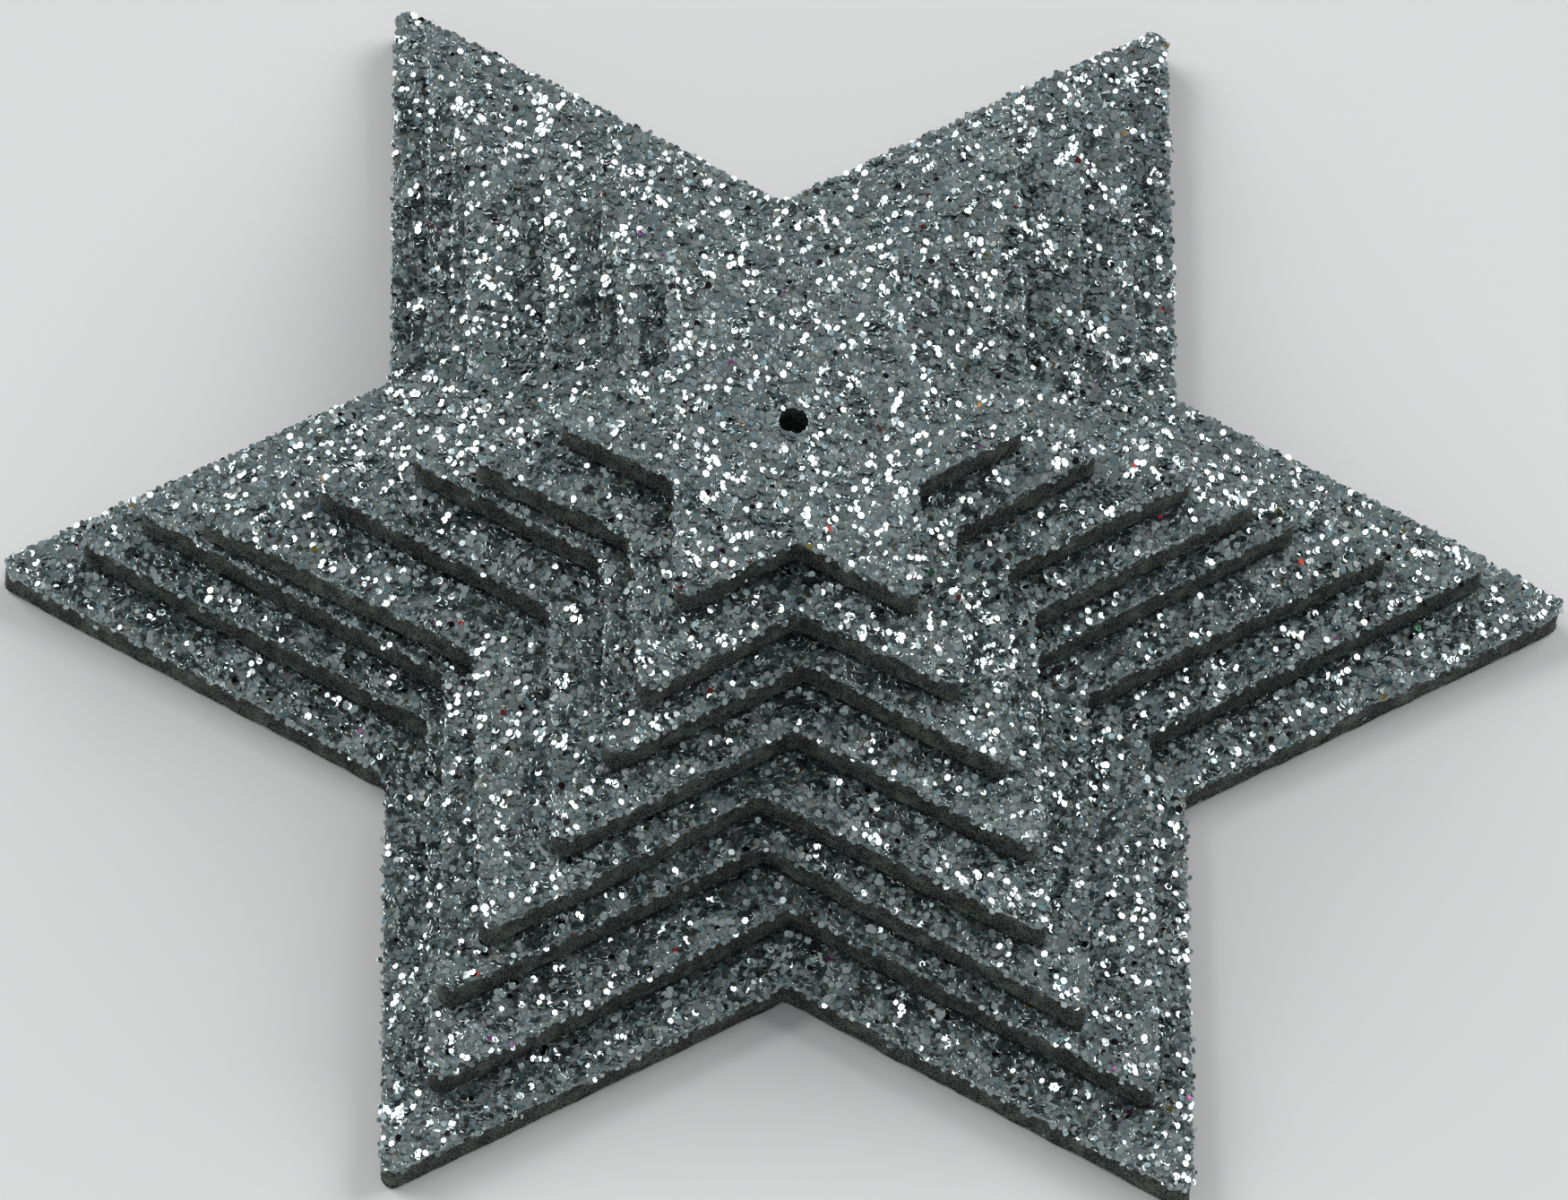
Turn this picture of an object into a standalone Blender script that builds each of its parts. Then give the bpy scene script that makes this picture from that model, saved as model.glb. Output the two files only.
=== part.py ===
"""A stack of eight six-pointed stars cut from glitter foam sheet, each star smaller than the one below.

Run it with: blender --background --python part.py
Units are metres and +Z is up. The origin is the centre of the bottom star's underside, and one tip of
the bottom star points along +X. Every star has a foam core, a glitter face stuck on top of it, and a
punched threading hole. A thin ring of glue round the holes holds each star to the one below.
"""

from math import cos, pi, radians, sin, sqrt, tan

import bpy
from mathutils import Vector

# Driving dimensions
BASE_SPAN = 0.100  # bottom star, from tip to opposite tip, before the tips are rounded
SPAN_STEP = 0.010  # each star is this much smaller than the one below
FOAM_THICKNESS = 0.0023
GLITTER_THICKNESS = 0.0003
HOLE_DIAMETER = 0.002
TIP_RADIUS = 0.0007
NOTCH_RADIUS = 0.0005
GLUE_THICKNESS = 0.00013
GLUE_INNER_RADIUS = 0.0035
GLUE_OUTER_RADIUS = 0.0070
FACE_GAP = 0.00002  # between any two flat faces that lie on each other

# How each star was laid down, from the bottom up: its turn in degrees, then its shift along X and Y
LAYS = (
    (0.0, 0.0, 0.0),
    (0.5, -0.0001, 0.0010),
    (-0.4, -0.0015, 0.0010),
    (1.5, -0.0026, 0.0001),
    (0.9, -0.0004, 0.0003),
    (0.3, 0.0004, 0.0005),
    (2.7, -0.0008, -0.0004),
    (1.2, -0.0006, 0.0001),
)

TIPS = 6
ARC_STEP = radians(20)  # the most that one edge of a rounded corner turns
HOLE_SIDES = 20
RING_SIDES = 28

STAR_THICKNESS = FOAM_THICKNESS + FACE_GAP + GLITTER_THICKNESS
GLUE_GAP = GLUE_THICKNESS + 2 * FACE_GAP
PITCH = STAR_THICKNESS + GLUE_GAP


def clear_scene():
    for old in list(bpy.data.objects):
        bpy.data.objects.remove(old, do_unlink=True)


def new_collection(name):
    collection = bpy.data.collections.new(name)
    bpy.context.scene.collection.children.link(collection)
    return collection


def new_material(name, colour, roughness, metallic):
    material = bpy.data.materials.new(name)
    material.use_nodes = True
    shader = material.node_tree.nodes["Principled BSDF"]
    shader.inputs["Base Color"].default_value = (*colour, 1)
    shader.inputs["Roughness"].default_value = roughness
    shader.inputs["Metallic"].default_value = metallic
    return material


def rounded_corner(before, corner, after, radius):
    """Points of the arc that rounds one corner of an outline."""
    back = (before - corner).normalized()
    ahead = (after - corner).normalized()
    half_angle = back.angle(ahead) / 2
    centre = corner + (back + ahead).normalized() * radius / sin(half_angle)
    run = radius / tan(half_angle)
    start = (corner + back * run - centre).normalized()
    end = (corner + ahead * run - centre).normalized()
    steps = round((pi - 2 * half_angle) / ARC_STEP)
    return [centre + start.slerp(end, step / steps) * radius for step in range(steps + 1)]


def star_outline(span):
    """A hexagram whose sharp tips would be span apart: two equal triangles, one turned over the other."""
    radii = (span / 2, span / 2 / sqrt(3))
    corners = []
    for i in range(2 * TIPS):
        angle = pi * i / TIPS
        corners.append(Vector((cos(angle), sin(angle))) * radii[i % 2])
    outline = []
    for i, corner in enumerate(corners):
        after = corners[(i + 1) % len(corners)]
        radius = (TIP_RADIUS, NOTCH_RADIUS)[i % 2]
        outline += rounded_corner(corners[i - 1], corner, after, radius)
    return outline


def circle(radius, sides):
    angles = [2 * pi * i / sides for i in range(sides)]
    return [Vector((cos(angle), sin(angle))) * radius for angle in angles]


def add_sheet(name, outlines, thickness, bottom, material, parent, collection):
    """A flat piece: a filled 2D curve, any inner outline being a hole, extruded both ways."""
    curve = bpy.data.curves.new(name, "CURVE")
    curve.dimensions = "2D"
    curve.fill_mode = "BOTH"
    curve.extrude = thickness / 2
    for outline in outlines:
        spline = curve.splines.new("POLY")
        spline.points.add(len(outline) - 1)
        spline.use_cyclic_u = True
        for point, place in zip(spline.points, outline):
            point.co = (place.x, place.y, 0, 1)
    curve.materials.append(material)
    sheet = bpy.data.objects.new(name, curve)
    sheet.location.z = bottom + thickness / 2
    sheet.parent = parent
    collection.objects.link(sheet)
    return sheet


def add_star(number, lay, materials, collection):
    """One star: its foam core and its glitter face, on an empty that holds how the star was laid."""
    turn, shift_x, shift_y = lay
    place = bpy.data.objects.new(f"star_{number}", None)
    place.empty_display_size = BASE_SPAN / 10
    place.location = (shift_x, shift_y, (number - 1) * PITCH)
    place.rotation_euler.z = radians(turn)
    collection.objects.link(place)

    span = BASE_SPAN - (number - 1) * SPAN_STEP
    outlines = (star_outline(span), circle(HOLE_DIAMETER / 2, HOLE_SIDES))
    foam, glitter = materials
    add_sheet(f"foam_star_{number}", outlines, FOAM_THICKNESS, 0, foam, place, collection)
    face_bottom = FOAM_THICKNESS + FACE_GAP
    name = f"glitter_face_{number}"
    add_sheet(name, outlines, GLITTER_THICKNESS, face_bottom, glitter, place, collection)
    return place


def add_glue_ring(number, place, material, collection):
    """The glue between a star and the one below, centred on the upper star and clear of both holes."""
    outlines = (circle(GLUE_OUTER_RADIUS, RING_SIDES), circle(GLUE_INNER_RADIUS, RING_SIDES))
    bottom = FACE_GAP - GLUE_GAP
    name = f"glue_ring_{number}"
    add_sheet(name, outlines, GLUE_THICKNESS, bottom, material, place, collection)


def build():
    clear_scene()
    collection = new_collection("glitter_foam_star_stack")
    foam = new_material("charcoal_foam", (0.024, 0.028, 0.026), 0.85, 0.0)
    glitter = new_material("silver_glitter", (0.25, 0.29, 0.29), 0.35, 0.9)
    glue = new_material("clear_glue", (0.70, 0.70, 0.66), 0.30, 0.0)
    for number, lay in enumerate(LAYS, start=1):
        place = add_star(number, lay, (foam, glitter), collection)
        if number > 1:
            add_glue_ring(number - 1, place, glue, collection)


build()
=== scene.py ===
"""Looks of the stacked glitter foam stars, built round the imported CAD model. Units are metres, +Z is up.

Each CAD star has a foam core and a glitter face. Here the core becomes a die-cut foam body with a wavy
wall and pores, and the face becomes a ragged film of glue that carries thousands of small hexagonal
flakes. All places are read from the CAD nodes.
"""

from math import cos, pi, radians, sin, sqrt, tan

import bmesh
import bpy
import numpy as np
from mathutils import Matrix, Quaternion, Vector, noise


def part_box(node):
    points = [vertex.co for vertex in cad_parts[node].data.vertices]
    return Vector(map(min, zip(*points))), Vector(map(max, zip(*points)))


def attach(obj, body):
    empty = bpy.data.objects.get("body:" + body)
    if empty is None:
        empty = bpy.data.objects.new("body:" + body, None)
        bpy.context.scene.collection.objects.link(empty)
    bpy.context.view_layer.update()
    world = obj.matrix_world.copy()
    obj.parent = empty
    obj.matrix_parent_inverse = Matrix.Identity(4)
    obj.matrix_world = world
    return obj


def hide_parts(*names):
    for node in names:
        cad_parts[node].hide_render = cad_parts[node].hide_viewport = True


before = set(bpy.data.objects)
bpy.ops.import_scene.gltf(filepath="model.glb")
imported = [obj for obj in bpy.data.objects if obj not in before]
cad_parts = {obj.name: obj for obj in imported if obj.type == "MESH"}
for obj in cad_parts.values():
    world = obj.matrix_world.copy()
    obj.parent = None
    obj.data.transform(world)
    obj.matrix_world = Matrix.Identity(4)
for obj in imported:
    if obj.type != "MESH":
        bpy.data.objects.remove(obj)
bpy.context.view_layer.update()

STARS = 8
SEED = 8

# Camera: it stands in front of the star, a little to the left, and leans over to one side
CAMERA_AZIMUTH = radians(-5.71)
CAMERA_ELEVATION = radians(58.45)
CAMERA_ROLL = radians(6.40)
CAMERA_DISTANCE = 0.8145
CAMERA_AIM = (-0.0006, -0.0063, 0.0111)
CAMERA_CLIP = (0.05, 50)
LENS_MM = 299.1
SENSOR_MM = 36.0

# Outlines of the foam and the film
FACING_UP = 0.9  # the least height of the normal of a CAD face that belongs to a piece's top
OUTLINE_STEP = 0.0003
SHARP_ANGLE = radians(50)

# Cut wall of the foam. A noise is (strength, waves per metre)
FOAM_EDGE = 0.00012  # how far the cut rounds its edges
FOAM_WAVE = (0.00004, 350)
FOAM_GRAIN = (0.00002, 4200)
FOAM_BURR = 0.00005  # how far the cut's lower edge stands out
FOAM_UNDERCUT = 0.00040  # how far in under the star its flat underside starts
FOAM_LIFT = 0.00030  # how high the foam's lower edge curls up, at most
FOAM_LIFT_SHARE = 0.40  # the usual share of that
FOAM_LIFT_SLOW = (0.9, 500)
FOAM_LIFT_QUICK = (0.5, 1900)
FOAM_LIFT_REACH = 0.2  # the curl fades out by this share of the foam's height

# Torn edge of the glue film
FILM_RAG = 0.00008
FILM_RAG_SLOW = (1.0, 1500)
FILM_RAG_QUICK = (0.6, 4000)
FILM_LIP = 0.00003  # how far the glue film stands out over the foam
FILM_HANG = 0.00018  # how far its edge hangs down over the foam, on average
FILM_HANG_SLOW = (2.4, 620)
FILM_HANG_QUICK = (0.9, 2300)
FILM_BELOW_FACE = 0.00010  # the film's top lies this far under the CAD face, and the flakes fill the rest

# Wall profiles from the bottom edge up, as (inset, height share)
FOAM_PROFILE = (
    (FOAM_UNDERCUT, 0.0),
    (0.2 * FOAM_EDGE, 0.01),
    (-FOAM_BURR, 0.028),
    (-0.2 * FOAM_BURR, 0.055),
    (0.0, 0.11),
    (0.0, 0.22),
    (0.0, 0.36),
    (0.0, 0.50),
    (0.0, 0.64),
    (0.0, 0.78),
    (0.0, 0.92),
    (0.3 * FOAM_EDGE, 1.0),
)
FILM_PROFILE = ((0.00004, 0.0), (0.0, 0.2), (0.0, 0.7), (0.00009, 1.0))

# Flakes. Sizes are the smallest and largest, as shares of FLAKE_RADIUS. A lift is how far a flake's
# lowest corner lies over the film, at least, and how much further at most. Tilts and what is uneven
# are the spread of a random slope
FLAKE_RADIUS = 0.00021
RIPPLES_PER_M = 900  # of the glue film, which tilt neighbouring flakes alike
RIPPLE_HEIGHTS = (0.3, 7.7)  # where in the noise the two parts of a ripple's slope are read
PRESSED_WITHIN = 1.3 * FLAKE_RADIUS  # flakes this close to the star above are pressed flatter
PRESSED_SHARE = 0.3
OVER_EDGE = 0.00002  # flakes reach this far past the star's outline
UNDER_STAR = 0.00025  # flakes reach this far in under the star above
CLEAR_OF_HOLE = 0.00015

BED_STEP = 0.000235
BED_JITTER = 0.22 * BED_STEP
BED_SIZES = (0.56, 0.98)
BED_TILT = radians(3.8)
BED_RIPPLE = 0.30  # slope of the ripples under the bed
BED_FOLD = 0.10  # how far a bed flake's sides stand above or below its fold, as a share of its radius
BED_SINK = 0.60  # share of a tilted bed flake's lower half that is sunk in the glue
BED_LIFT = (0, 0.000018)

LOOSE_PER_MM2 = 3.8
LOOSE_SIZES = (0.85, 1.20)
LOOSE_TILT = radians(13)
LOOSE_RIPPLE = 0.60
LOOSE_SINK = 0.12
LOOSE_LIFT = (0.00004, 0.00005)

PATCHES_PER_MM2 = 1.30  # small groups of flakes that lie on one lump of glue and so share a tilt
PATCH_FLAKES = (2, 6)
PATCH_SPREAD = 0.00028
PATCH_TILT = radians(18)
PATCH_UNEVEN = radians(3)
PATCH_LIFT = (0.000055, 0.00006)

CHIPS_PER_MM2 = 10  # broken flakes
CHIP_SIZES = (0.20, 0.60)
CHIP_CORNERS = (0.35, 1.0)  # where its corners lie between its middle and a whole flake's corners
CHIP_TILT = radians(24)
CHIP_LIFT = (0.00003, 0.00002)

STEEP_PER_MM2 = 0.6
STEEP_SIZES = (0.5, 0.9)
STEEP_LEAN = (radians(25), radians(75))
STEEP_SINK = (0.1, 0.6)  # how far their middles lie under the film, as shares of their radii
STEEP_LIFT = 0.00006
STEEP_CLEAR = 1.2 * FLAKE_RADIUS  # they stay this far from the star above

HOLE_FLAKES = 26  # flakes round the top star's hole
HOLE_REACH = (-0.00024, 0.0)  # how far their middles stand out over its edge
HOLE_LIFT = (0, 0.00006)

RIM_STEP = 0.00019
RIM_SIZES = (0.7, 1.1)
RIM_REACH = (0.00005, 0.00010)  # how far they stand out over the cut edge: mean and spread
RIM_TOP = 0.00006
RIM_DEPTH = 0.00020  # how far they reach down, past the film's own hanging edge
RIM_LEAN = (radians(-10), radians(100))
RIM_UNEVEN = 0.35

STRAY_PER_MM = 0.035
STRAY_SIZES = (0.5, 0.95)
STRAY_HEIGHTS = (0.1, 0.9)  # as shares of the foam's height
STRAY_OFF_WALL = 0.00006
STRAY_UNEVEN = 0.25

GLUE_RIMS_PER_FLAKE = 0.26  # share of the flakes with a raised rim of glue round them
GLUE_RIM_WIDTH = 0.000045
GLUE_RIM_RISE = 0.000015
GLUE_RIM_DROP = 0.000020
GLUE_RIM_SIDES = 4  # of the flake's six

FLAKE_METALLIC = 0.94  # the rest is the milky clear coat
SUNK_ROUGHNESS = 0.4  # flakes rougher than this lie under a skin of glue
GLUE_COAT = 0.8
GLUE_COAT_ROUGHNESS = 0.10
FLAKE_KINDS = (
    # name, share among bedded flakes, share among loose ones, colour, roughness
    ("silver", 3.5, 77, (0.49, 0.565, 0.568), 0.12),
    ("silver_satin", 34, 4, (0.230, 0.300, 0.326), 0.50),
    ("silver_coated", 36, 3, (0.276, 0.312, 0.292), 0.60),
    ("silver_worn", 12, 2, (0.244, 0.266, 0.256), 0.56),
    ("teal", 6, 4, (0.158, 0.268, 0.292), 0.50),
    ("smoke", 3.0, 2, (0.170, 0.190, 0.195), 0.45),
    ("black", 0.7, 1.5, (0.025, 0.022, 0.022), 0.24),
    ("gold", 0.03, 0.04, (0.40, 0.21, 0.06), 0.36),
    ("violet", 0.05, 0.05, (0.35, 0.08, 0.30), 0.35),
    ("dark_red", 0.10, 0.10, (0.20, 0.025, 0.02), 0.30),
    ("olive", 0.06, 0.05, (0.26, 0.24, 0.05), 0.35),
    ("green", 0.03, 0.03, (0.10, 0.36, 0.20), 0.35),
)
BED_SHARE = 1  # columns of FLAKE_KINDS
LOOSE_SHARE = 2
GLUE_RIM_COLOUR = (0.50, 0.57, 0.57)
GLUE_RIM_ROUGHNESS = 0.36

# Tones, as stops of a colour ramp
FILM_TONES = ((0.0, (0.22, 0.264, 0.270)), (0.5, (0.33, 0.396, 0.403)), (0.9, (0.46, 0.55, 0.56)))
FILM_CELLS_PER_M = 2600
FILM_CELL_LEAN = 0.5
FILM_METALLIC = 0.65
FILM_ROUGHNESS = 0.50
FOAM_TONES = ((0.06, (0.185, 0.213, 0.184)), (0.20, (0.074, 0.086, 0.075)), (0.35, (0.006, 0.008, 0.007)))
FOAM_PORES_PER_M = 7500
FOAM_CLOUDS_PER_M = 900
FOAM_CLOUD_DETAIL = 3
FOAM_PORE_STRENGTH = 0.7
FOAM_PORE_DEPTH = 0.00006
FOAM_ROUGHNESS = 0.88
GLUE_TONES = ((0.3, (0.62, 0.62, 0.57)), (0.7, (0.78, 0.78, 0.74)))
GLUE_CLOUDS_PER_M = 600
GLUE_ROUGHNESS = 0.35

# Studio. The sky's tones go from the horizon up, and stay even above the last
FLOOR_HALF = 14.0
FLOOR_BELOW = 0.00002  # so that it doesn't share a plane with the star's underside
FLOOR_COLOUR = (0.90, 0.90, 0.90)
FLOOR_ROUGHNESS = 0.9
SKY_TONES = ((0.0, (0.70, 0.72, 0.72)), (0.02, (0.66, 0.69, 0.69)), (0.12, (0.200, 0.211, 0.215)))
SUNS = (
    # name, azimuth and elevation in degrees, strength, width in degrees
    ("key_left", -120, 37, 1.40, 41),
    ("key_right", 120, 37, 1.32, 41),
    ("front_fill", -20, 50, 0.24, 80),
)


def outline_loops(node):
    """The closed outlines of a flat CAD piece's top face, longest first, as arrays of (x, y)."""
    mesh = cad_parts[node].data
    places = [tuple(round(c, 6) for c in vertex.co) for vertex in mesh.vertices]
    following = {}
    for polygon in mesh.polygons:
        if polygon.normal.z < FACING_UP:
            continue
        corners = [places[i] for i in polygon.vertices]
        for a, b in zip(corners, corners[1:] + corners[:1]):
            if following.get(b) and a in following[b]:
                following[b].remove(a)
            else:
                following.setdefault(a, []).append(b)
    loops = []
    while any(following.values()):
        start = next(a for a in following if following[a])
        loop = [start]
        here = following[start].pop()
        while here != start:
            loop.append(here)
            here = following[here].pop()
        loops.append(np.array(loop)[:, :2])
    return sorted(loops, key=loop_length, reverse=True)


def loop_length(loop):
    return np.linalg.norm(np.roll(loop, -1, axis=0) - loop, axis=1).sum()


def along_loop(loop, distances):
    """Points and outward normals at these distances along a closed outline."""
    ends = np.vstack([loop, loop[:1]])
    steps = np.linalg.norm(np.diff(ends, axis=0), axis=1)
    reach = np.concatenate([[0], np.cumsum(steps)])
    points = np.column_stack([np.interp(distances, reach, ends[:, i]) for i in (0, 1)])
    side = np.clip(np.searchsorted(reach, distances, side="right") - 1, 0, len(loop) - 1)
    run = np.diff(ends, axis=0)[side] / steps[side, None]
    return points, np.column_stack([run[:, 1], -run[:, 0]])


def resampled(loop, step):
    """An outline with even steps, and its outward normals smoothed over the corners."""
    count = int(round(loop_length(loop) / step))
    points, _ = along_loop(loop, np.arange(count) * loop_length(loop) / count)
    run = np.roll(points, -1, axis=0) - np.roll(points, 1, axis=0)
    run /= np.linalg.norm(run, axis=1)[:, None]
    return points, np.column_stack([run[:, 1], -run[:, 0]])


def depth_inside(points, loop):
    """How far each point lies inside an outline; negative outside it."""
    nearest = np.full(len(points), np.inf)
    inside = np.zeros(len(points), bool)
    for a, b in zip(loop, np.roll(loop, -1, axis=0)):
        run = b - a
        along = np.clip(((points - a) @ run) / (run @ run), 0, 1)
        gap = np.linalg.norm(points - a - along[:, None] * run, axis=1)
        nearest = np.minimum(nearest, gap)
        crosses = (a[1] > points[:, 1]) != (b[1] > points[:, 1])
        if a[1] != b[1]:
            at = a[0] + (points[:, 1] - a[1]) * run[0] / run[1]
            inside ^= crosses & (points[:, 0] < at)
    return np.where(inside, nearest, -nearest)


def new_object(name, vertices, faces, materials):
    mesh = bpy.data.meshes.new(name)
    mesh.from_pydata(vertices.tolist(), [], faces)
    for material in materials:
        mesh.materials.append(material)
    piece = bpy.data.objects.new(name, mesh)
    bpy.context.scene.collection.objects.link(piece)
    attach(piece, "root")
    return piece


def wall_points(points, normals, low, high, profile, wall):
    """The rows of points up a sheet's wall, each as long as the outline."""
    vertices = []
    for inset, share in profile:
        z = low + share * (high - low)
        for point, normal in zip(points, normals):
            out, lift = wall(Vector((*point, z)), share)
            x, y = point + normal * (out - inset)
            vertices.append((x, y, z + lift))
    return vertices


def wall_faces(first, count, rows):
    """The faces between those rows, whose points start at first."""
    faces = []
    for row in range(rows - 1):
        a = first + row * count
        b = a + count
        for i in range(count):
            j = (i + 1) % count
            faces.append((a + i, a + j, b + j, b + i))
    return faces


def cut_sheet(name, loops, low, high, profile, wall, material):
    """A closed flat piece with holes. profile lists (inset, height share) from the bottom edge up, and
    wall(point, share) says how far the surface stands out there and how far it is lifted."""
    vertices = []
    faces = []
    rims = {"bottom": [], "top": []}
    for loop in loops:
        points, normals = resampled(loop, OUTLINE_STEP)
        count = len(points)
        first = len(vertices)
        vertices += wall_points(points, normals, low, high, profile, wall)
        faces += wall_faces(first, count, len(profile))
        rims["bottom"].append(list(range(first, first + count)))
        rims["top"].append(list(range(len(vertices) - count, len(vertices))))
    piece = new_object(name, np.array(vertices), faces, [material])
    close_caps(piece.data, rims)
    return piece


def close_caps(mesh, rims):
    """Fills the flat top and bottom between the outer rim and the holes."""
    work = bmesh.new()
    work.from_mesh(mesh)
    work.verts.ensure_lookup_table()
    for face, loops in rims.items():
        edges = []
        for loop in loops:
            for a, b in zip(loop, loop[1:] + loop[:1]):
                edges.append(work.edges.get((work.verts[a], work.verts[b])))
        normal = Vector((0, 0, 1 if face == "top" else -1))
        bmesh.ops.triangle_fill(work, edges=edges, use_dissolve=False, use_beauty=True, normal=normal)
    bmesh.ops.recalc_face_normals(work, faces=work.faces)
    work.to_mesh(mesh)
    work.free()
    mesh.shade_smooth()
    mesh.set_sharp_from_angle(angle=SHARP_ANGLE)


def wavy(point, kind):
    """Noise at a point, where kind is (strength, waves per metre)."""
    strength, waves_per_m = kind
    return strength * noise.noise(point * waves_per_m)


def foam_wall(point, share):
    """Slow waves of a die cut, the fine grain of opened foam cells, and a lower edge that curls up."""
    across = Vector((point.x, point.y, 0))
    curl = FOAM_LIFT_SHARE + wavy(across, FOAM_LIFT_SLOW) + wavy(across, FOAM_LIFT_QUICK)
    lift = FOAM_LIFT * min(1.0, max(0.0, curl)) * max(0.0, 1 - share / FOAM_LIFT_REACH)
    return wavy(point, FOAM_WAVE) + wavy(point, FOAM_GRAIN), lift


def edge_hang(x, y):
    """How far the glitter's edge hangs down over the foam: it varies along the cut. The two noises are
    read at different heights, so that they don't run together."""
    slow = wavy(Vector((x, y, 0.01)), FILM_HANG_SLOW)
    quick = wavy(Vector((x, y, 0.05)), FILM_HANG_QUICK)
    return FILM_HANG * max(0.0, 1 + slow + quick)


def film_wall(point, share):
    """The torn edge of the dried glue film, whose lower half hangs down."""
    rag = wavy(point, FILM_RAG_SLOW) + wavy(point, FILM_RAG_QUICK)
    return FILM_RAG * rag + FILM_LIP, -edge_hang(point.x, point.y) * max(0.0, 1 - 2 * share)


def unit(vectors):
    return vectors / np.linalg.norm(vectors, axis=1)[:, None]


def corners_of(centres, normals, radii, spins):
    """The six corners of each hexagonal flake."""
    aid = np.where(np.abs(normals[:, 2:]) < 0.9, (0.0, 0.0, 1.0), (1.0, 0.0, 0.0))
    across = unit(np.cross(normals, aid))
    along = np.cross(normals, across)
    angles = spins[:, None] + np.arange(6) * pi / 3
    turned = np.cos(angles)[..., None] * across[:, None] + np.sin(angles)[..., None] * along[:, None]
    return centres[:, None] + radii[:, None, None] * turned


def flat_flakes(centres, normals, radii, spins):
    """One hexagonal face for each flake."""
    points = corners_of(centres, normals, radii, spins).reshape(-1, 3)
    return points, np.arange(len(points)).reshape(-1, 6).tolist()


def broken_flakes(centres, normals, radii, spins, draw):
    """One uneven four-sided face for each broken bit."""
    corners = corners_of(centres, normals, radii, spins)[:, (0, 1, 3, 4)]
    shares = draw.uniform(*CHIP_CORNERS, (len(centres), 4, 1))
    corners = centres[:, None] + (corners - centres[:, None]) * shares
    return corners.reshape(-1, 3), np.arange(4 * len(centres)).reshape(-1, 4).tolist()


def folded_flakes(centres, normals, radii, spins, folds):
    """Two faces for each flake, which meet at a slight fold across its middle."""
    points = corners_of(centres, normals, radii, spins)
    points[:, (1, 2, 4, 5)] += (normals * (folds * radii)[:, None])[:, None]
    halves = np.array([(0, 1, 2, 3), (0, 3, 4, 5)])
    faces = np.arange(len(centres))[:, None, None] * 6 + halves
    return points.reshape(-1, 3), faces.reshape(-1, 4).tolist()


def glue_rims(centres, normals, radii, spins):
    """A sloping rim of dried glue round most of each flake."""
    inner = corners_of(centres + GLUE_RIM_RISE * normals, normals, radii, spins)
    outer = corners_of(centres - GLUE_RIM_DROP * normals, normals, radii + GLUE_RIM_WIDTH, spins)
    points = np.concatenate([inner, outer], axis=1)
    sides = [(i, i + 1) for i in range(GLUE_RIM_SIDES)]
    ring = np.array([(i, 6 + i, 6 + j, j) for i, j in sides])
    faces = np.arange(len(centres))[:, None, None] * 12 + ring
    return points.reshape(-1, 3), faces.reshape(-1, 4).tolist()


def ripples(places):
    """Slopes of the glue film's ripples at these places."""
    scaled = places * RIPPLES_PER_M
    return np.array([[noise.noise(Vector((x, y, z))) for z in RIPPLE_HEIGHTS] for x, y in scaled])


def leaning(count, angle, draw):
    """Random slopes whose spread is this angle."""
    return draw.normal(0, tan(angle), (count, 2))


def bed_places(loop, draw):
    """A jittered triangular grid of places over an outline's box."""
    low, high = loop.min(axis=0), loop.max(axis=0)
    row_step = BED_STEP * sqrt(3) / 2
    rows = np.arange(low[1], high[1], row_step)
    columns = np.arange(low[0], high[0], BED_STEP)
    x, y = np.meshgrid(columns, rows)
    x = x + (np.arange(len(rows)) % 2)[:, None] * BED_STEP / 2
    places = np.column_stack([x.ravel(), y.ravel()])
    return places + draw.normal(0, BED_JITTER, places.shape)


def loose_places(loop, per_mm2, draw):
    """Random places over an outline's box."""
    low, high = loop.min(axis=0), loop.max(axis=0)
    count = int(np.prod(high - low) * 1e6 * per_mm2)
    return draw.uniform(low, high, (count, 2))


def is_shown(places, star):
    """Whether each place is on the star's own face and the star above doesn't cover it."""
    shows = depth_inside(places, star["outline"]) > -OVER_EDGE
    shows &= depth_inside(places, star["hole"]) < -CLEAR_OF_HOLE
    if star["above"] is not None:
        shows &= depth_inside(places, star["above"]) < UNDER_STAR
    return shows


def shown(places, star):
    return places[is_shown(places, star)]


def lying_flakes(places, slopes, star, sizes, sink, lift, draw):
    """Flakes on the face, each on its lowest corner, and pressed flat where the star above is close."""
    lowest, spread = lift
    raised = lowest + spread * draw.random(len(places))
    if star["above"] is not None:
        close = depth_inside(places, star["above"]) > -PRESSED_WITHIN
        slopes[close] *= PRESSED_SHARE
        raised[close] *= PRESSED_SHARE
    normals = unit(np.column_stack([slopes, np.ones(len(places))]))
    radii = FLAKE_RADIUS * draw.uniform(*sizes, len(places))
    rise = radii * np.sqrt(1 - normals[:, 2] ** 2)
    z = star["film_top"] + (1 - sink) * rise + raised
    return np.column_stack([places, z]), normals, radii


def bed_flakes(star, draw):
    """The close layer of flakes pressed into the glue."""
    places = shown(bed_places(star["outline"], draw), star)
    slopes = BED_RIPPLE * ripples(places) + leaning(len(places), BED_TILT, draw)
    return lying_flakes(places, slopes, star, BED_SIZES, BED_SINK, BED_LIFT, draw)


def loose_flakes(star, draw):
    """Whole flakes that lie on top of the bed, less flat."""
    places = shown(loose_places(star["outline"], LOOSE_PER_MM2, draw), star)
    slopes = LOOSE_RIPPLE * ripples(places) + leaning(len(places), LOOSE_TILT, draw)
    return lying_flakes(places, slopes, star, LOOSE_SIZES, LOOSE_SINK, LOOSE_LIFT, draw)


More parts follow.
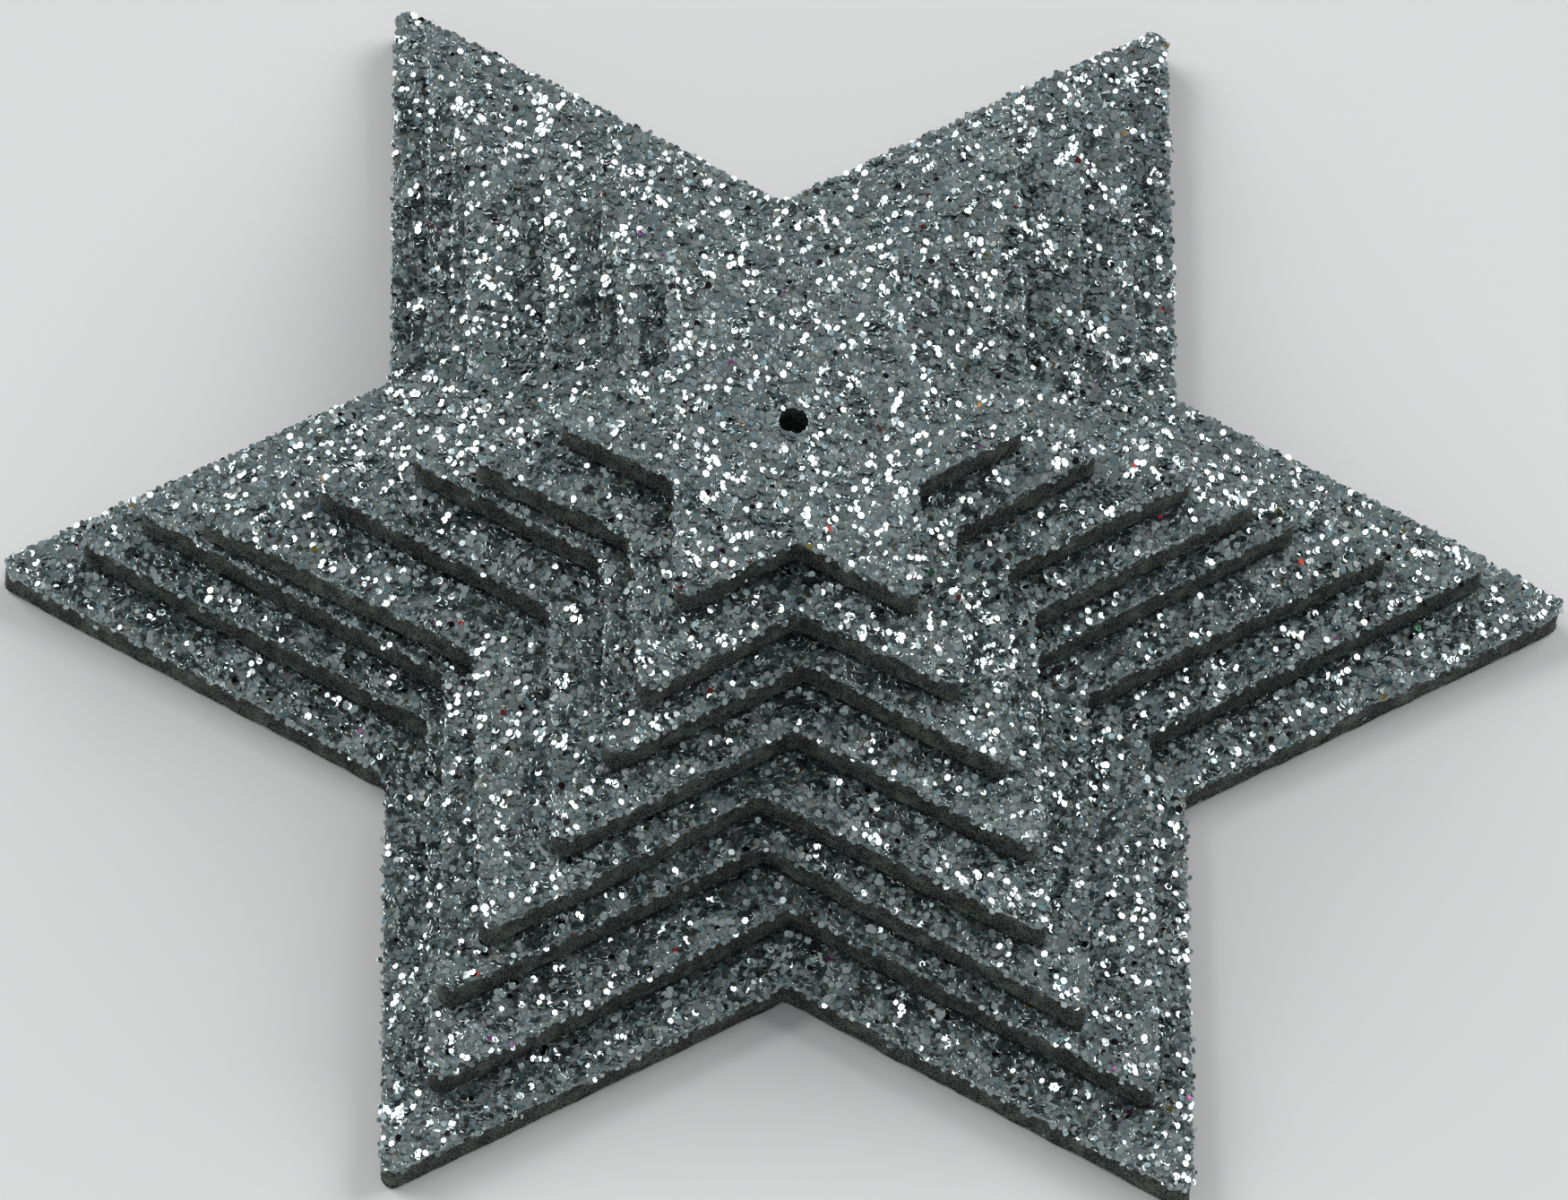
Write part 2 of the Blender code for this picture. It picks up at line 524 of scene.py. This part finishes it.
def patch_flakes(star, draw):
    """Small groups of flakes that share a tilt, and so flash together."""
    middles = shown(loose_places(star["outline"], PATCHES_PER_MM2, draw), star)
    fewest, most = PATCH_FLAKES
    group = np.repeat(np.arange(len(middles)), draw.integers(fewest, most + 1, len(middles)))
    places = middles[group] + draw.normal(0, PATCH_SPREAD, (len(group), 2))
    slopes = leaning(len(middles), PATCH_TILT, draw)[group] + leaning(len(group), PATCH_UNEVEN, draw)
    keep = is_shown(places, star)
    return lying_flakes(places[keep], slopes[keep], star, LOOSE_SIZES, LOOSE_SINK, PATCH_LIFT, draw)


def chip_flakes(star, draw):
    """Broken bits of flake, turned every way."""
    places = shown(loose_places(star["outline"], CHIPS_PER_MM2, draw), star)
    slopes = leaning(len(places), CHIP_TILT, draw)
    return lying_flakes(places, slopes, star, CHIP_SIZES, BED_SINK, CHIP_LIFT, draw)


def steep_flakes(star, draw):
    """Flakes that stand in the glue at a steep angle, partly sunk, so that mostly an edge shows."""
    places = shown(loose_places(star["outline"], STEEP_PER_MM2, draw), star)
    if star["above"] is not None:
        places = places[depth_inside(places, star["above"]) < -STEEP_CLEAR]
    count = len(places)
    turn = draw.uniform(0, 2 * pi, count)
    lean = draw.uniform(*STEEP_LEAN, count)
    normals = np.column_stack([np.cos(turn) * np.sin(lean), np.sin(turn) * np.sin(lean), np.cos(lean)])
    radii = FLAKE_RADIUS * draw.uniform(*STEEP_SIZES, count)
    z = star["film_top"] - draw.uniform(*STEEP_SINK, count) * radii + STEEP_LIFT
    return np.column_stack([places, z]), normals, radii


def hole_flakes(star, draw):
    """The flakes round the top star's hole, some of which stick out over it."""
    count = HOLE_FLAKES if star["above"] is None else 0
    points, outward = along_loop(star["hole"], draw.uniform(0, loop_length(star["hole"]), count))
    places = points + outward * draw.uniform(*HOLE_REACH, count)[:, None]
    slopes = leaning(count, CHIP_TILT, draw)
    return lying_flakes(places, slopes, star, BED_SIZES, BED_SINK, HOLE_LIFT, draw)


def rim_flakes(star, draw):
    """Flakes that hang over the cut edge of the film, turned any way between up and outward."""
    length = loop_length(star["outline"])
    count = int(length / RIM_STEP)
    points, outward = along_loop(star["outline"], draw.uniform(0, length, count))
    reach = draw.normal(*RIM_REACH, count)
    hang = np.array([edge_hang(x, y) for x, y in points])
    z = star["film_top"] + RIM_TOP - draw.random(count) * (hang + RIM_DEPTH)
    lean = draw.uniform(*RIM_LEAN, count)
    normals = np.column_stack([outward * np.sin(lean)[:, None], np.cos(lean)])
    normals = unit(normals + draw.normal(0, RIM_UNEVEN, normals.shape))
    radii = FLAKE_RADIUS * draw.uniform(*RIM_SIZES, count)
    return np.column_stack([points + outward * reach[:, None], z]), normals, radii


def stray_flakes(star, draw):
    """The few flakes that stick to the foam's cut wall."""
    length = loop_length(star["outline"])
    count = int(length * 1000 * STRAY_PER_MM)
    points, outward = along_loop(star["outline"], draw.uniform(0, length, count))
    foam_height = star["foam_high"] - star["foam_low"]
    z = star["foam_low"] + foam_height * draw.uniform(*STRAY_HEIGHTS, count)
    normals = np.column_stack([outward, np.zeros(count)])
    normals = unit(normals + draw.normal(0, STRAY_UNEVEN, normals.shape))
    radii = FLAKE_RADIUS * draw.uniform(*STRAY_SIZES, count)
    return np.column_stack([points + outward * STRAY_OFF_WALL, z]), normals, radii


def picked_kinds(count, column, draw):
    """A random kind of flake for each, by the shares in this column of FLAKE_KINDS."""
    shares = np.array([kind[column] for kind in FLAKE_KINDS])
    return draw.choice(len(shares), count, p=shares / shares.sum())


def joined(parts):
    """The points and faces of all parts, as one mesh's."""
    faces = []
    first = 0
    for points, part_faces in parts:
        faces += [[first + i for i in face] for face in part_faces]
        first += len(points)
    return np.concatenate([points for points, _ in parts]), faces


def flake_piece(number, star, materials):
    """All flakes of one star. materials are those of FLAKE_KINDS in its order, then the glue rims'."""
    draw = np.random.default_rng(SEED + number)
    bed = bed_flakes(star, draw)
    chips = chip_flakes(star, draw)
    makers = (loose_flakes, patch_flakes, steep_flakes, hole_flakes, rim_flakes, stray_flakes)
    others = [np.concatenate(part) for part in zip(*(make(star, draw) for make in makers))]
    bed_spins = draw.uniform(0, pi / 3, len(bed[0]))
    other_spins = draw.uniform(0, pi / 3, len(others[0]))
    rimmed = draw.random(len(others[0])) < GLUE_RIMS_PER_FLAKE
    rimmed_bed = draw.random(len(bed[0])) < GLUE_RIMS_PER_FLAKE
    parts = [
        folded_flakes(*bed, bed_spins, draw.normal(0, BED_FOLD, len(bed[0]))),
        flat_flakes(*others, other_spins),
        broken_flakes(*chips, draw.uniform(0, 2 * pi, len(chips[0])), draw),
        glue_rims(*(part[rimmed_bed] for part in bed), bed_spins[rimmed_bed]),
        glue_rims(*(part[rimmed] for part in others), other_spins[rimmed]),
    ]
    kinds = [
        np.repeat(picked_kinds(len(bed[0]), BED_SHARE, draw), 2),
        picked_kinds(len(others[0]), LOOSE_SHARE, draw),
        picked_kinds(len(chips[0]), LOOSE_SHARE, draw),
        np.full(len(parts[3][1]) + len(parts[4][1]), len(FLAKE_KINDS)),
    ]
    piece = new_object(f"glitter_flakes_{number}", *joined(parts), materials)
    piece.data.polygons.foreach_set("material_index", np.concatenate(kinds).astype(np.int32))
    piece.data.shade_smooth()
    return piece


def principled(name):
    """A new material, its nodes and links, and its Principled shader's sockets."""
    material = bpy.data.materials.new(name)
    material.use_nodes = True
    tree = material.node_tree
    return material, tree.nodes, tree.links, tree.nodes["Principled BSDF"].inputs


def plain(name, colour, roughness):
    """A material with the same colour and roughness all over."""
    material, _, _, shader = principled(name)
    shader["Base Color"].default_value = (*colour, 1)
    shader["Roughness"].default_value = roughness
    return material, shader


def ramp(nodes, stops):
    """A colour ramp through these (position, colour) stops."""
    node = nodes.new("ShaderNodeValToRGB")
    elements = node.color_ramp.elements
    while len(elements) < len(stops):
        elements.new(0.5)
    for element, (position, colour) in zip(elements, stops):
        element.position = position
        element.color = (*colour, 1)
    return node


def texture(nodes, links, kind, per_m):
    """A texture that lies still on the object, with this many cells or waves per metre."""
    where = nodes.new("ShaderNodeTexCoord")
    node = nodes.new(kind)
    node.inputs["Scale"].default_value = per_m
    links.new(where.outputs["Object"], node.inputs["Vector"])
    return node


def vector_maths(nodes, links, operation, *sources):
    """A vector sum on the outputs of other nodes, which go into its first sockets."""
    node = nodes.new("ShaderNodeVectorMath")
    node.operation = operation
    for source, socket in zip(sources, node.inputs):
        links.new(source, socket)
    return node


def coat_with_glue(shader):
    shader["Coat Weight"].default_value = GLUE_COAT
    shader["Coat Roughness"].default_value = GLUE_COAT_ROUGHNESS


def flake_material(name, colour, roughness):
    material, shader = plain(name, colour, roughness)
    shader["Metallic"].default_value = FLAKE_METALLIC
    if roughness > SUNK_ROUGHNESS:
        coat_with_glue(shader)
    return material


def flake_materials():
    """Metallised polyester flakes: mostly grey silver, some teal, smoke grey or black, and very few in
    other colours. Last comes the clear glue that dried round them, which mirrors the silver below it."""
    materials = [flake_material(f"flake_{kind[0]}", *kind[3:]) for kind in FLAKE_KINDS]
    return materials + [flake_material("glue_rim", GLUE_RIM_COLOUR, GLUE_RIM_ROUGHNESS)]


def film_material():
    """Flakes sunk in the glue film, under the ones that lie on it: small tilted cells."""
    material, nodes, links, shader = principled("glitter_film")
    cells = texture(nodes, links, "ShaderNodeTexVoronoi", FILM_CELLS_PER_M)
    colours = nodes.new("ShaderNodeSeparateColor")
    links.new(cells.outputs["Color"], colours.inputs[0])
    tone = ramp(nodes, FILM_TONES)
    links.new(colours.outputs[0], tone.inputs[0])
    links.new(tone.outputs[0], shader["Base Color"])
    centred = vector_maths(nodes, links, "SUBTRACT", cells.outputs["Color"])
    centred.inputs[1].default_value = (0.5, 0.5, 0.5)
    lean = vector_maths(nodes, links, "SCALE", centred.outputs[0])
    lean.inputs["Scale"].default_value = FILM_CELL_LEAN
    surface = nodes.new("ShaderNodeNewGeometry")
    total = vector_maths(nodes, links, "ADD", surface.outputs["Normal"], lean.outputs[0])
    tilted = vector_maths(nodes, links, "NORMALIZE", total.outputs[0])
    links.new(tilted.outputs[0], shader["Normal"])
    shader["Metallic"].default_value = FILM_METALLIC
    shader["Roughness"].default_value = FILM_ROUGHNESS
    coat_with_glue(shader)
    return material


def foam_material():
    """Closed-cell foam, charcoal, with the fine open pores of a cut face."""
    material, nodes, links, shader = principled("charcoal_foam")
    pores = texture(nodes, links, "ShaderNodeTexVoronoi", FOAM_PORES_PER_M)
    cloud = texture(nodes, links, "ShaderNodeTexNoise", FOAM_CLOUDS_PER_M)
    cloud.inputs["Detail"].default_value = FOAM_CLOUD_DETAIL
    mixed = nodes.new("ShaderNodeMath")
    mixed.operation = "MULTIPLY"
    links.new(pores.outputs["Distance"], mixed.inputs[0])
    links.new(cloud.outputs["Fac"], mixed.inputs[1])
    tone = ramp(nodes, FOAM_TONES)
    links.new(mixed.outputs[0], tone.inputs[0])
    links.new(tone.outputs[0], shader["Base Color"])
    bump = nodes.new("ShaderNodeBump")
    bump.inputs["Strength"].default_value = FOAM_PORE_STRENGTH
    bump.inputs["Distance"].default_value = FOAM_PORE_DEPTH
    links.new(mixed.outputs[0], bump.inputs["Height"])
    links.new(bump.outputs[0], shader["Normal"])
    shader["Roughness"].default_value = FOAM_ROUGHNESS
    return material


def glue_material():
    """Dried clear glue, slightly cloudy."""
    material, nodes, links, shader = principled("clear_glue")
    cloud = texture(nodes, links, "ShaderNodeTexNoise", GLUE_CLOUDS_PER_M)
    tone = ramp(nodes, GLUE_TONES)
    links.new(cloud.outputs["Fac"], tone.inputs[0])
    links.new(tone.outputs[0], shader["Base Color"])
    shader["Roughness"].default_value = GLUE_ROUGHNESS
    return material


def read_star(number):
    """The outlines and levels of one CAD star."""
    outline, hole = outline_loops(f"glitter_face_{number}")[:2]
    foam_low, foam_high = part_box(f"foam_star_{number}")
    face_low, face_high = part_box(f"glitter_face_{number}")
    return {
        "outline": outline,
        "hole": hole,
        "above": None,
        "foam_low": foam_low[2],
        "foam_high": foam_high[2],
        "film_low": face_low[2],
        "film_top": face_high[2] - FILM_BELOW_FACE,
    }


def build_stars():
    foam, film, flakes, glue = foam_material(), film_material(), flake_materials(), glue_material()
    stars = [read_star(number) for number in range(1, STARS + 1)]
    for lower, upper in zip(stars, stars[1:]):
        lower["above"] = upper["outline"]
    for number, star in enumerate(stars, start=1):
        loops = (star["outline"], star["hole"])
        body = cut_sheet(f"foam_body_{number}", loops, star["foam_low"], star["foam_high"],
                         FOAM_PROFILE, foam_wall, foam)
        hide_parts(f"foam_star_{number}")
        sheet = cut_sheet(f"glitter_film_{number}", loops, star["film_low"], star["film_top"],
                          FILM_PROFILE, film_wall, film)
        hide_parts(f"glitter_face_{number}")
        flake_piece(number, star, flakes)
    for number in range(1, STARS):
        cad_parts[f"glue_ring_{number}"].material_slots[0].material = glue


def add_floor():
    corners = [(-1, -1, 0), (1, -1, 0), (1, 1, 0), (-1, 1, 0)]
    mesh = bpy.data.meshes.new("floor")
    mesh.from_pydata([Vector(corner) * FLOOR_HALF for corner in corners], [], [(0, 1, 2, 3)])
    floor = bpy.data.objects.new("floor", mesh)
    floor.location.z = -FLOOR_BELOW
    bpy.context.scene.collection.objects.link(floor)
    material, _ = plain("pale_floor", FLOOR_COLOUR, FLOOR_ROUGHNESS)
    mesh.materials.append(material)


def direction(azimuth, elevation):
    """The way from the star to something that stands there. Azimuth 0 is in front, and 90 at its right."""
    return Vector((sin(azimuth) * cos(elevation), -cos(azimuth) * cos(elevation), sin(elevation)))


def add_sun(name, azimuth, elevation, strength, width):
    light = bpy.data.lights.new(name, "SUN")
    light.energy = strength
    light.angle = radians(width)
    sun = bpy.data.objects.new(name, light)
    sun.rotation_mode = "QUATERNION"
    sun.rotation_quaternion = direction(radians(azimuth), radians(elevation)).to_track_quat("Z", "Y")
    bpy.context.scene.collection.objects.link(sun)


def add_light():
    """A dim studio sky over a pale horizon, and large soft lights behind the star and before it."""
    world = bpy.data.worlds.new("studio")
    bpy.context.scene.world = world
    world.use_nodes = True
    nodes, links = world.node_tree.nodes, world.node_tree.links
    where = nodes.new("ShaderNodeTexCoord")
    height = nodes.new("ShaderNodeSeparateXYZ")
    links.new(where.outputs["Generated"], height.inputs[0])
    sky = ramp(nodes, SKY_TONES)
    links.new(height.outputs["Z"], sky.inputs[0])
    links.new(sky.outputs[0], nodes["Background"].inputs["Color"])
    for sun in SUNS:
        add_sun(*sun)


def add_camera():
    data = bpy.data.cameras.new("camera")
    data.sensor_width = SENSOR_MM
    data.lens = LENS_MM
    data.clip_start, data.clip_end = CAMERA_CLIP
    camera = bpy.data.objects.new("camera", data)
    back = direction(CAMERA_AZIMUTH, CAMERA_ELEVATION)
    camera.location = Vector(CAMERA_AIM) + back * CAMERA_DISTANCE
    camera.rotation_mode = "QUATERNION"
    level = (-back).to_track_quat("-Z", "Y")
    camera.rotation_quaternion = level @ Quaternion((0, 0, 1), CAMERA_ROLL)
    bpy.context.scene.collection.objects.link(camera)
    bpy.context.scene.camera = camera


add_camera()
add_floor()
add_light()
build_stars()
bpy.context.scene.view_settings.view_transform = "Standard"
